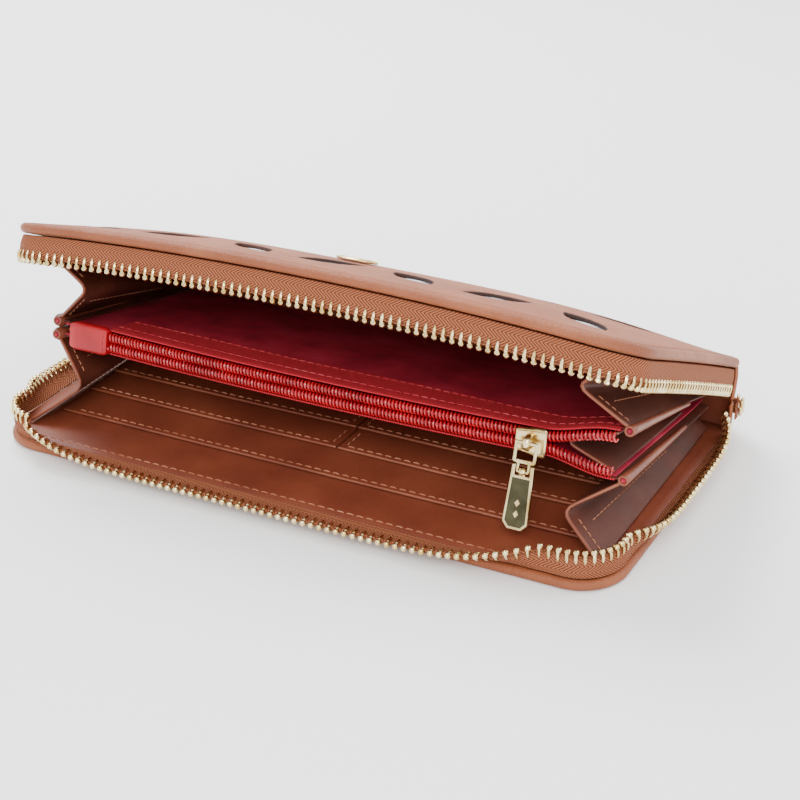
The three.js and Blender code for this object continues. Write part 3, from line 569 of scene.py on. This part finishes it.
def build_edges():
    """The rolled edges, the zip tapes with their bead cords, and the teeth."""
    steps = np.linspace(0, RIM_RUN, 250)
    shells = [("base", base_tape_at, flat, PIPING_RADIUS + 0.05, 0.0),
              ("lid", lid_tape_at, lid_rise, THICKNESS - PIPING_RADIUS - 0.05, LID_ANGLE)]
    for body, tape_at, rise, height, angle in shells:
        path, across = [], []
        for d in steps:
            p, n = rim_at(d, PIPING_INSET)
            path.append((p[0], p[1], height + rise(p[0], p[1])))
            across.append(n)
        radius = PIPING_RADIUS * (0.985 + 0.015 * np.sin(steps * 0.9) * np.sin(steps * 0.23))
        soup = Soup().add(tube(path, radius, 20, np.array(across)))
        roll = make(body + "_rolled_edge", soup, [PIPING], angle)
        settle(roll, body, "outer_leather", body + "_piping")

        rows, vs = [], np.linspace(0, 1, 9)
        for d in steps:
            root, run, face = tape_at(d)
            ripple = 0.12 * math.sin(d * 0.21) * math.sin(d * 0.057)
            rows.append([root + run * v * TAPE_HEIGHT + face * (math.sin(math.pi * v) * (0.35 + ripple))
                         for v in vs])
        uv = np.stack(np.meshgrid(steps, vs * TAPE_HEIGHT, indexing="ij"), axis=2)
        soup = Soup().add(sheet(rows, TAPE_CLOTH, uv))
        ends = [tape_at(d) for d in steps]
        cord = [root + run * (TAPE_HEIGHT + 0.1) for root, run, _ in ends]
        soup.add(tube(cord, 0.5, 8, np.array([face for _, _, face in ends])))
        settle(make(body + "_woven_tape", soup, [TAPE], angle), body, "zip_tape", body + "_zip_tape")

        soup, template = Soup(), tooth_template()
        count = int(round(RIM_RUN / TOOTH_PITCH))
        for k in range(count):
            root, run, face = tape_at((k + 0.5) * RIM_RUN / count)
            soup.add(moved(template, axes_matrix(root + run * (TAPE_HEIGHT + 0.3), run, face)))
        settle(make(body + "_teeth", soup, [GOLD], angle), body, "gold_metal", body + "_zip_teeth")

        root, run, _ = tape_at(0)
        centre = root + run * (TAPE_HEIGHT + 1.35) + np.array([0, 1.3, 0])
        outline = rounded_box(0.95, 0.8, 0.3)
        data, mats = outline_plate(outline, [], -1.05, 1.05, 0.25)
        stop = make(body + "_stop", Soup().add(moved(data, Matrix.Translation(centre)), mats), [GOLD], angle)
        settle(stop, body, "gold_metal", body + "_zip_stop")


def rounded_box(hx, hy, r, steps=4):
    out = []
    for sx, sy, start in ((1, 1, 0), (-1, 1, 0.5), (-1, -1, 1), (1, -1, 1.5)):
        for t in np.linspace(0, 0.5, steps + 1):
            a = (start + t) * math.pi
            out.append((sx * (hx - r) + r * math.cos(a), sy * (hy - r) + r * math.sin(a)))
    return out


def axes_matrix(origin, x, z):
    """A frame at origin whose x and z axes point along two given directions."""
    x = unit(x)
    z = unit(np.asarray(z, float) - x * np.dot(x, z))
    y = np.cross(z, x)
    m = np.eye(4)
    m[:3, 0], m[:3, 1], m[:3, 2], m[:3, 3] = x, y, z, origin
    return m


def tooth_template():
    """One tooth: two legs clamped on the cord and a rounded head with a dimple. x runs out of the tape."""
    soup = Soup()
    for side in (1, -1):
        legs = [(-1.5, 0, side * 0.62), (-0.6, 0, side * 0.72), (0.3, 0, side * 0.66), (0.9, 0, side * 0.3)]
        soup.add(tube(legs, [0.42, 0.46, 0.46, 0.46], 6))
    rings, sides = 7, 10
    points = []
    for r in range(rings):
        a = math.pi * r / (rings - 1)
        for k in range(sides):
            turn = 2 * math.pi * k / sides
            dent = 0.82 if r in (0, rings - 1) else 1.0
            spread = max(math.sin(a), 0.22)
            points.append((1.15 + 0.95 * spread * math.cos(turn), 0.88 * spread * math.sin(turn),
                           0.95 * math.cos(a) * dent))
    return soup.add((points, ring_faces(rings, sides), None)).joined()


# ---------------------------------------------------------------- slots, gussets, spine
def build_slots():
    rows = [("slip_pocket", 3.9, -30.0, False), ("card_row_1", 4.85, -16.3, True),
            ("card_row_2", 5.8, -4.1, True), ("card_row_3", 6.75, 8.0, True)]
    paths = []
    for name, low, front, split in rows:
        soup = Soup()
        middle = low + 0.325
        ends = [-SLOT_HALF_WIDTH] + [-0.5, 0.5] * split + [SLOT_HALF_WIDTH]
        spans = zip(ends[::2], ends[1::2])
        for x0, x1 in spans:
            xs, ys = np.linspace(x0, x1, 40), np.linspace(front + 0.4, REAR_END, 16)
            sag = lambda x: 0.35 * math.sin(math.pi * (x - x0) / (x1 - x0))
            grid = [[(x, y - sag(x) * (y < front + 3), middle) for y in ys] for x in xs]
            soup.add(sheet(grid, 0.6))
            roll = [(x, front + 0.45 - sag(x), middle + 0.08) for x in xs]
            soup.add(tube(roll, 0.42, 8), 1)
            paths.append([(x, front + 1.9 - sag(x), low + 0.62) for x in xs[1:-1]])
            if split:
                inner = x0 + 1.8 if x0 > 0 else x1 - 1.8
                paths.append([(inner, y, low + 0.62) for y in np.linspace(front + 2.4, front + 11.5, 8)])
        settle(make(name + "_leather", soup, [INNER, HIGHLIT_EDGE]), "base", "inner_leather", name)
    paths.append([(x, -45.2, 3.6) for x in np.linspace(-83, 83, 60)])
    settle(make("slot_stitches", stitch_soup(paths, (0, 0, 1)), [THREAD]), "base", "inner_leather")


def pocket_depth(y):
    return clamp((POCKET_REAR - y) / (POCKET_REAR - NOSE_Y), 0, 1)


def pocket_middle(x, y):
    return MID - 1.6 * (1 - (x / POCKET_HALF_WIDTH) ** 2) * pocket_depth(y)


def pocket_half_gap(x, y):
    depth = pocket_depth(y)
    left = lerp(1.6, 3, smoothstep(x, -POCKET_HALF_WIDTH, COIN_ZIP_START))
    at_nose = lerp(left, 6.2, smoothstep(x, 67, 86))
    bulge = 1.2 * math.sin(math.pi * depth) * (1 - (x / POCKET_HALF_WIDTH) ** 2)
    return lerp(0.7, at_nose, depth ** 0.8) + bulge


def pocket_line(side, wall, t):
    y, x = lerp(REAR_END, NOSE_Y, t), side * POCKET_HALF_WIDTH
    z = pocket_middle(x, y) + wall * (pocket_half_gap(x, y) + 0.95)
    return opened([(side * GUSSET_X, y, z)], POCKET_ANGLE)[0]


def fold(low, high, side, depth, spread=0.1, steps=19):
    """A V fold from low to high with a soft crest pointing into the wallet."""
    crest = (low + high) / 2 - np.array([side * depth, 0, 0])
    out = []
    for v in np.linspace(0, 1, steps):
        if abs(v - 0.5) >= spread:
            out.append(lerp(low, crest, v * 2) if v < 0.5 else lerp(crest, high, v * 2 - 1))
            continue
        a, b = lerp(low, crest, 1 - 2 * spread), lerp(crest, high, 2 * spread)
        t = (v - 0.5 + spread) / (2 * spread)
        out.append((1 - t) ** 2 * a + 2 * t * (1 - t) * crest + t * t * b)
    return out


def blend_span(fixed, far):
    """Two points: the middle of a fold's fixed edge, and that point shifted towards the far edge, across the
    fixed edge's run.
    """
    along = unit(fixed(1) - fixed(0))
    gap = (far(0.3) - fixed(0.5)) * (0, 1, 1)
    return fixed(0.5), fixed(0.5) + gap - along * gap.dot(along)


def build_gussets():
    ts = np.linspace(0, 1, 25)
    for label, side in (("right", 1), ("left", -1)):
        base = lambda t: np.array([side * GUSSET_X, lerp(REAR_END, GUSSET_FRONT, t), 4.45])
        lid = lambda t: opened([(side * GUSSET_X, lerp(REAR_END, GUSSET_FRONT, t), 19.55)], LID_ANGLE)[0]
        folds = [("lower", base, lambda t: pocket_line(side, -1, t), "base", "coin_pocket"),
                 ("upper", lambda t: pocket_line(side, 1, t), lid, "coin_pocket", "lid")]
        for part, low, high, body_a, body_b in folds:
            depth = lambda t: CREST_DEPTH * lerp(0.35, 1, t)
            rows = np.array([fold(low(t), high(t), side, depth(t)) for t in ts])
            soup = Soup().add(sheet(rows, GUSSET_LEATHER))
            soup.add(tube(rows[-1], 0.5, 8), 1)
            soup.add(surface_stitches(rows), 2)
            piece = make(f"gusset_{label}_{part}_fold", soup, [GUSSET, HIGHLIT_EDGE, THREAD])
            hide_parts(f"gusset_{label}_{part}")
            at_pocket, away = blend_span(low, high) if part == "upper" else blend_span(high, low)
            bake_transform(piece)
    build_middle_folds(ts)


def surface_stitches(rows):
    """Stitches on the side of a fold that faces +X: near its front edge and along both its panels."""
    normal = unit(np.cross(np.gradient(rows, axis=0), np.gradient(rows, axis=1)))
    normal *= np.where(normal[..., :1] < 0, -1, 1)
    lifted = rows + normal * 0.33
    low, high = (slice(1, 8), slice(-8, -1))
    soup = Soup()
    for line, up in ((lifted[-2, low], normal[-2, 4]), (lifted[-2, high], normal[-2, -5]),
                     (lifted[7:-2, 5], normal[-5, 5]), (lifted[7:-2, -6], normal[-5, -6])):
        dashes = stitch_soup([line], up, 1.5, 0.8, 0.16)
        soup.add((np.concatenate(dashes.points), dashes.faces, None))
    return np.concatenate(soup.points), soup.faces, None


def build_middle_folds(ts):
    rows = []
    for t in ts:
        y, x = lerp(30, NOSE_Y + 0.5, t), POCKET_HALF_WIDTH - 1
        reach = max(pocket_half_gap(x, y) - 0.95, 0.3)
        low, high = (np.array([x, y, pocket_middle(x, y) + s * reach]) for s in (-1, 1))
        rows.append(fold(low, high, 1, CREST_DEPTH * lerp(0.6, 1, t)))
    soup = Soup().add(sheet(rows, 0.6))
    soup.add(tube(rows[-1], 0.48, 8), 1)
    piece = make("gusset_right_middle_fold", soup, [GUSSET, HIGHLIT_EDGE], POCKET_ANGLE)
    settle(piece, "coin_pocket", "inner_leather", "gusset_right_middle")

    xs, ys = np.linspace(-87, -76, 8), np.linspace(14, NOSE_Y + 0.5, 14)
    grid = [[(x, y, pocket_middle(x, y)) for y in ys] for x in xs]
    soup = Soup().add(sheet(grid, 0.8)).add(tube([row[-1] for row in grid], 0.45, 8), 1)
    piece = make("gusset_left_middle_fold", soup, [INNER, HIGHLIT_EDGE], POCKET_ANGLE)
    settle(piece, "coin_pocket", "inner_leather", "gusset_left_middle")

    soup = Soup()
    for side in (1, -1):
        for wall in (1, -1):
            drop = np.array([0, 0, -wall * 0.5])
            sleeve = [pocket_line(side, wall, t) + drop for t in np.linspace(0.3, 1, 20)]
            soup.add(tube(sleeve, np.linspace(0.7, 1.5 if side > 0 else 2.0, 20), 12), 0)
            tip, before = sleeve[-1], sleeve[-2]
            out = unit(tip - before)
            soup.add(tube([tip + out * 0.3, tip + out * 1.0], 0.8, 10), 1)
            over = unit(np.cross(out, (1, 0, 0)))
            turns = np.linspace(0, 2 * math.pi, 17)[:-1]
            beside = np.cross(out, over)
            ring = [tip + out * 0.9 + 1.15 * (beside * math.cos(a) + over * math.sin(a)) for a in turns]
            soup.add(tube(ring + ring[:2], 0.4, 8), 0)
            ends = [pocket_line(side, wall, t) for t in np.linspace(0, 1, 20)]
            steps = [np.array([side * reach, 0, wall * sink])
                     for reach, sink in ((0, 0), (1.5, 0.2), (4, 0.4))]
            band = [[end - step for step in steps] for end in ends]
            soup.add(sheet(band, 0.5), 2)
    piece = make("gusset_sleeves", soup, [HIGHLIT_EDGE, RED_FABRIC, GUSSET])
    settle(piece, "coin_pocket", "inner_leather")


def spine_plan():
    """The spine's plan line from the left side round both rear corners, with its outward normals."""
    half, radius, rear = 91.9, 4.5, 51.5
    right = [(half + radius, y, 1, 0) for y in (46.6, 46.8)]
    for a in np.linspace(0, math.pi / 2, 7):
        c, s = math.cos(a), math.sin(a)
        right.append((half + radius * c, rear - radius + radius * s, c, s))
    middle = [(x, rear, 0, 1) for x in np.linspace(half, -half, 50)[1:-1]]
    left = [(-x, y, -nx, ny) for x, y, nx, ny in reversed(right)]
    return right + middle + left


def build_spine():
    lower = [(1.8, 1.0), (0.6, 2.6), (0.1, 5.5), (0.0, 9.0), (0.0, 11.9)]
    upper = [(0.0, 12.1), (0.0, 15.0), (0.1, 18.5), (0.6, 21.4), (1.8, 23.0)]
    for part, profile, body, angle in (("lower", lower, "base", 0), ("upper", upper, "lid", LID_ANGLE)):
        line = resampled([(inset, 0, z) for inset, z in profile], 0.9)
        grid = [[(x - nx * p[0], y - ny * p[0], p[2]) for p in line] for x, y, nx, ny in spine_plan()]
        data = sheet(grid, 1.0)
        cells = (len(grid) - 1) * (len(line) - 1)
        mats = [0, 1] * cells + [0] * (len(data[1]) - 2 * cells)
        piece = make(f"spine_{part}_leather", Soup().add(data, mats), [OUTER, INNER], angle)
        settle(piece, body, "outer_leather", f"spine_{part}")


# ---------------------------------------------------------------- coin pocket
def build_pocket():
    xs, ys = np.linspace(-POCKET_HALF_WIDTH, POCKET_HALF_WIDTH, 120), np.linspace(POCKET_REAR, NOSE_Y, 50)
    for label, side in (("upper", 1), ("lower", -1)):
        def wave(x, y):
            return 0.28 * math.sin(x * 0.09 + y * 0.05) * math.sin(math.pi * pocket_depth(y))

        def surface(x, y, above=0.0):
            return x, y, pocket_middle(x, y) + side * (pocket_half_gap(x, y) + above) + wave(x, y)

        grid = [[surface(x, y) for y in ys] for x in xs]
        soup = Soup().add(sheet(grid, WALL_CLOTH))
        wall = make(f"coin_wall_{label}_cloth", soup, [RED_FABRIC], POCKET_ANGLE)
        settle(wall, "coin_pocket", "red_fabric", f"coin_wall_{label}")

        lift = 0.85
        tx = np.linspace(COIN_ZIP_START + 0.3, POCKET_HALF_WIDTH, 110)
        ty = [(y, 0) for y in np.linspace(-13, -24.9, 9)] + [(-25.6, 0.15), (-26.2, 0.4)]
        rows = [[surface(x, y, lift - drop) for y, drop in ty] for x in tx]
        soup = Soup().add(sheet(rows, COIN_TAPE_CLOTH))
        tape = make(f"coin_tape_{label}_woven", soup, [RED_TAPE], POCKET_ANGLE)
        settle(tape, "coin_pocket", "red_tape", f"coin_tape_{label}")

        seams = [[surface(x, y, lift + 0.22) for x in tx] for y in (-14.4, -22.6)]
        soup = stitch_soup(seams, (0, 0, side), 2.0, 0.8, 0.16)
        thread = make(f"coin_tape_{label}_stitches", soup, [RED_THREAD], POCKET_ANGLE)
        settle(thread, "coin_pocket", "red_tape")

        turns = np.arange(0, (POCKET_HALF_WIDTH - COIN_ZIP_START - 0.6) / COIL_PITCH * COIL_STEPS)
        helix, cord = [], []
        for k in turns:
            x = COIN_ZIP_START + 0.3 + k / COIL_STEPS * COIL_PITCH
            a = k / COIL_STEPS * 2 * math.pi + (0 if side > 0 else math.pi)
            z = pocket_middle(x, NOSE_Y) + side * (1.5 + max(pocket_half_gap(x, NOSE_Y) - 3, 0))
            helix.append((x, COIL_Y + 0.95 * math.cos(a), z + 1.2 * math.sin(a)))
            if k % COIL_STEPS == 0:
                cord.append((x, COIL_Y, z))
        soup = Soup().add(tube(helix, 0.32, 6)).add(tube(cord, 0.5, 8), 1)
        coil = make(f"coin_coil_{label}_turns", soup, [RED_COIL, RED_TAPE], POCKET_ANGLE)
        settle(coil, "coin_pocket", "red_coil", f"coin_coil_{label}")

    middle, y0, y1 = pocket_middle(COIN_ZIP_START, NOSE_Y), -28.25, -24.9
    section, rings = rounded_box(4.2, 1.67, 1.2, 5), []
    for x, size in zip(np.linspace(-84, -71, 14), [0.86, 0.96] + [1.0] * 10 + [0.96, 0.86]):
        rings.append([(x, (y0 + y1) / 2 + b * size, middle + a * size) for a, b in section])
    points = [p for ring in rings for p in ring]
    seams = [[(-72.4, y0, middle + z) for z in np.linspace(-3.2, 3.2, 8)]]
    soup = Soup().add((points, ring_faces(len(rings), len(rings[0])), None))
    dashes = stitch_soup(seams, (0, -1, 0), 1.4, 0.6, 0.16)
    soup.add((np.concatenate(dashes.points), dashes.faces, None), 1)
    tab = make("coin_end_tab_leather", soup, [RED_LEATHER, RED_THREAD], POCKET_ANGLE)
    settle(tab, "coin_pocket", "red_leather", "coin_end_tab")


# ---------------------------------------------------------------- sliders and pulls
def slider_soup(bridge_across):
    """x along the chain, y across it, z away from it."""
    face = [(-4.4, -2.9), (1.6, -3.9), (4.0, -3.9), (4.4, -3.5), (4.4, 3.5), (4.0, 3.9), (1.6, 3.9),
            (-4.4, 2.9)]
    soup = Soup()
    data, mats = outline_plate(face, [], 0, 1.2, 0.3)
    soup.add(data, mats)
    for y in (-3.2, 3.2):
        soup.add(tube([(-3.6, y * 0.82, 1.1), (1.4, y, 1.1), (3.9, y, 1.1)], 0.35, 8))
    arch = [(-2.0, 0, 0.9), (-1.9, 0, 2.4), (-1.5, 0, 3.6), (-0.8, 0, 4.15), (0.8, 0, 4.15), (1.5, 0, 3.6),
            (1.9, 0, 2.4), (2.0, 0, 0.9)]
    turn = Matrix.Rotation(math.pi / 2 if bridge_across else 0, 4, "Z")
    flat_across = np.tile([0.0, 1.0, 0.0], (len(arch), 1))
    soup.add(moved(tube(arch, 0.85, 12, flat_across, 0.45), turn))
    return soup


def link_soup():
    outline = [(-0.45, -3.3), (5.0, -3.3), (5.4, -2.9), (5.6, -1.9), (7.8, -1.9), (8.1, -1.6),
               (8.1, 1.6), (7.8, 1.9), (5.6, 1.9), (5.4, 2.9), (5.0, 3.3), (-0.45, 3.3)]
    box = lambda x0, x1, h: [(x0, -h), (x1, -h), (x1, h), (x0, h)]
    data, mats = outline_plate(outline, [box(0.45, 4.5, 2.4), box(5.6, 7.4, 1.2)], -0.4, 0.4, 0.15)
    return Soup().add(data, mats)


def plate_soup():
    outline = [(5.9, -3.1), (21.7, -3.7), (23.5, -2.1), (23.5, 2.1), (21.7, 3.7), (5.9, 3.1), (5.9, 2.15),
               (8.7, 2.15), (8.7, -2.15), (5.9, -2.15)]
    inner = [(9.5, -2.5), (21.3, -2.95), (22.7, -1.7), (22.7, 1.7), (21.3, 2.95), (9.5, 2.5)]
    data, mats = outline_plate(outline, [], -0.5, 0.5, 0.2)
    soup = Soup().add(data, mats)
    for low, high in ((0.42, 0.56), (-0.56, -0.42)):
        data, _ = outline_plate(inner, [], low, high, 0.05)
        soup.add(data, 1)
    for x in (16.2, 19.2):
        lozenge = [(x - 1.1, 0), (x, -0.8), (x + 1.1, 0), (x, 0.8)]
        data, mats = outline_plate(lozenge, [], 0.5, 0.78, 0.1)
        soup.add(data, mats)
    turns = np.linspace(0.2, 2 * math.pi - 0.2, 16)
    curl = [(7.75 + 0.88 * math.cos(a), 0, 0.82 * math.sin(a)) for a in turns]
    soup.add(tube(curl, 0.8, 10, np.tile([0.0, 1.0, 0.0], (len(turns), 1)), 0.28))
    return soup


def put(name, soup, matrix, materials, body, node, angle=0.0):
    placed = Soup().add(moved(soup.joined(), matrix), soup.mats)
    settle(make(name, placed, materials, angle, 35), body, "gold_metal", node)


def build_hardware():
    level = pocket_middle(COIN_SLIDER_X, NOSE_Y)
    coin = axes_matrix((COIN_SLIDER_X, -27.95, level), (1, 0, 0), (0, -1, 0))
    put("coin_slider_metal", slider_soup(True), coin, [GOLD], "coin_slider", "coin_slider_body", POCKET_ANGLE)
    hang = COIN_PULL_HANG
    pivot = np.array([COIN_SLIDER_X, -31.15, level])
    along, out = (0, -math.cos(hang), -math.sin(hang)), (0, -math.sin(hang), math.cos(hang))
    pull = axes_matrix(pivot, along, out)
    put("coin_pull_link_metal", link_soup(), pull, [GOLD], "coin_pull", "coin_pull_link", POCKET_ANGLE)
    plate_finish = [GOLD, PLATE_FACE]
    put("coin_pull_plate_metal", plate_soup(), pull, plate_finish, "coin_plate", "coin_pull_plate",
        POCKET_ANGLE)

    main = axes_matrix((MAIN_SLIDER_X, 54.9, CHAIN_LEVEL), (1, 0, 0), (0, 1, 0))
    put("main_slider_metal", slider_soup(False), main, [GOLD], "main_slider", "main_slider_body")
    parked = axes_matrix((MAIN_SLIDER_X, 58.1, CHAIN_LEVEL), (-1, 0, 0), (0, 1, 0))
    put("main_pull_link_metal", link_soup(), parked, [GOLD], "main_pull", "main_pull_link")
    put("main_pull_plate_metal", plate_soup(), parked, plate_finish, "main_plate", "main_pull_plate")

    oval = [(6.4 * math.cos(a), -16 + 4 * math.sin(a)) for a in np.linspace(0, 2 * math.pi, 49)[:-1]]
    inner = [(5.2 * math.cos(a), -16 + 2.9 * math.sin(a)) for a in np.linspace(0, 2 * math.pi, 41)[:-1]]
    soup = Soup()
    for shape, low, high, bevel in ((oval, 24.3, 25.0, 0.25), (inner, 24.9, 25.2, 0.12)):
        data, mats = outline_plate(shape, [], low, high, bevel, lid_rise)
        soup.add(data, mats)
    settle(make("lid_badge", soup, [GOLD], LID_ANGLE), "lid", "gold_metal", "lid_emblem")


def end_chain_at(t, out):
    """A point of the closed chain round the right rear corner, moved out from its line."""
    corner_x, corner_y = 94.9, 49.8
    if t < 0.2:
        return np.array([98.9 + out, lerp(REAR_END + 1.5, corner_y, t / 0.2), CHAIN_LEVEL])
    if t > 0.4:
        return np.array([lerp(corner_x, 70, (t - 0.4) / 0.6), 53.8 + out, CHAIN_LEVEL])
    turn, bend = (t - 0.2) / 0.2 * math.pi / 2, CHAIN_BEND + out
    return np.array([corner_x + bend * math.cos(turn), corner_y + bend * math.sin(turn), CHAIN_LEVEL])


def build_end_chain():
    fine = np.array([end_chain_at(t, 0) for t in np.linspace(CHAIN_START, 1, 300)])
    line = resampled(fine, 1.27)
    soup = Soup()
    for k, p in enumerate(line):
        side = 1 if k % 2 else -1
        up = np.array([0, 0, side])
        soup.add(tube([p + up * 1.8, p + up * 0.4, p - up * 0.5], [0.5, 0.6, 0.55], 8))
    settle(make("end_chain_teeth", soup, [GOLD]), "base", "gold_metal", "zip_end_chain")
    grid = [[end_chain_at(t, -1.4) + (0, 0, v) for v in np.linspace(-3.6, 1.2, 6)]
            for t in np.linspace(CHAIN_START, 1, 80)]
    settle(make("end_chain_tape", Soup().add(sheet(grid, 0.45)), [TAPE]), "base", "zip_tape", "zip_end_tape")


# ---------------------------------------------------------------- stage
def build_stage():
    camera = bpy.data.objects.new("camera", bpy.data.cameras.new("camera"))
    camera.data.lens, camera.data.sensor_width, camera.data.clip_start = 83.35, 36, 0.01
    a, e, r = math.radians(27.6), math.radians(26.726), math.radians(-0.553)
    back = Vector((math.sin(a) * math.cos(e), -math.cos(a) * math.cos(e), math.sin(e)))
    right = Vector((math.cos(a), math.sin(a), 0))
    up = back.cross(right)
    x_axis, y_axis = right * math.cos(r) + up * math.sin(r), up * math.cos(r) - right * math.sin(r)
    turn = Matrix((x_axis, y_axis, back)).transposed().to_4x4()
    camera.matrix_world = Matrix.Translation((0.23351, -0.42320, 0.25648)) @ turn
    bpy.context.scene.collection.objects.link(camera)
    bpy.context.scene.camera = camera

    corners = [(x * 2500, y * 2500, 0) for x, y in ((-1, -1), (1, -1), (1, 1), (-1, 1))]
    floor_data = (corners, [(0, 1, 2, 3)], None)
    shader = Shader("floor_paper", 0.9)
    shader.colour(shader.paint(shader.noise(2), (0.2, srgb(244, 244, 244)), (0.8, srgb(246, 246, 246))))
    floor = make("floor", Soup().add(floor_data), [shader.material])

    lights = [("key", (-0.45, 0.35, 0.75), 0.5, 13.0), ("fill", (0.35, -0.75, 0.6), 0.7, 9.0),
              ("rim", (0.6, 0.5, 0.5), 0.4, 3.0)]
    for name, place, size, power in lights:
        light = bpy.data.lights.new(name, "AREA")
        light.shape, light.size, light.energy = "DISK", size, power
        obj = bpy.data.objects.new(name, light)
        obj.location = place
        obj.rotation_euler = (Vector((0, 0, 0.02)) - Vector(place)).to_track_quat("-Z", "Y").to_euler()
        bpy.context.scene.collection.objects.link(obj)
    world = bpy.data.worlds.new("studio")
    world.use_nodes = True
    world.node_tree.nodes["Background"].inputs[0].default_value = srgb(236, 236, 236)
    world.node_tree.nodes["Background"].inputs[1].default_value = 1.95
    bpy.context.scene.world = world


def paint_kept_nodes():
    """CAD nodes that stay as they are, hidden between the leathers."""
    for name in ("base_board", "lid_board"):
        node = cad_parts[name]
        node.data.materials.clear()
        node.data.materials.append(BOARD)


build_stage()
build_shells()
build_edges()
build_slots()
build_gussets()
build_spine()
build_pocket()
build_hardware()
build_end_chain()
paint_kept_nodes()
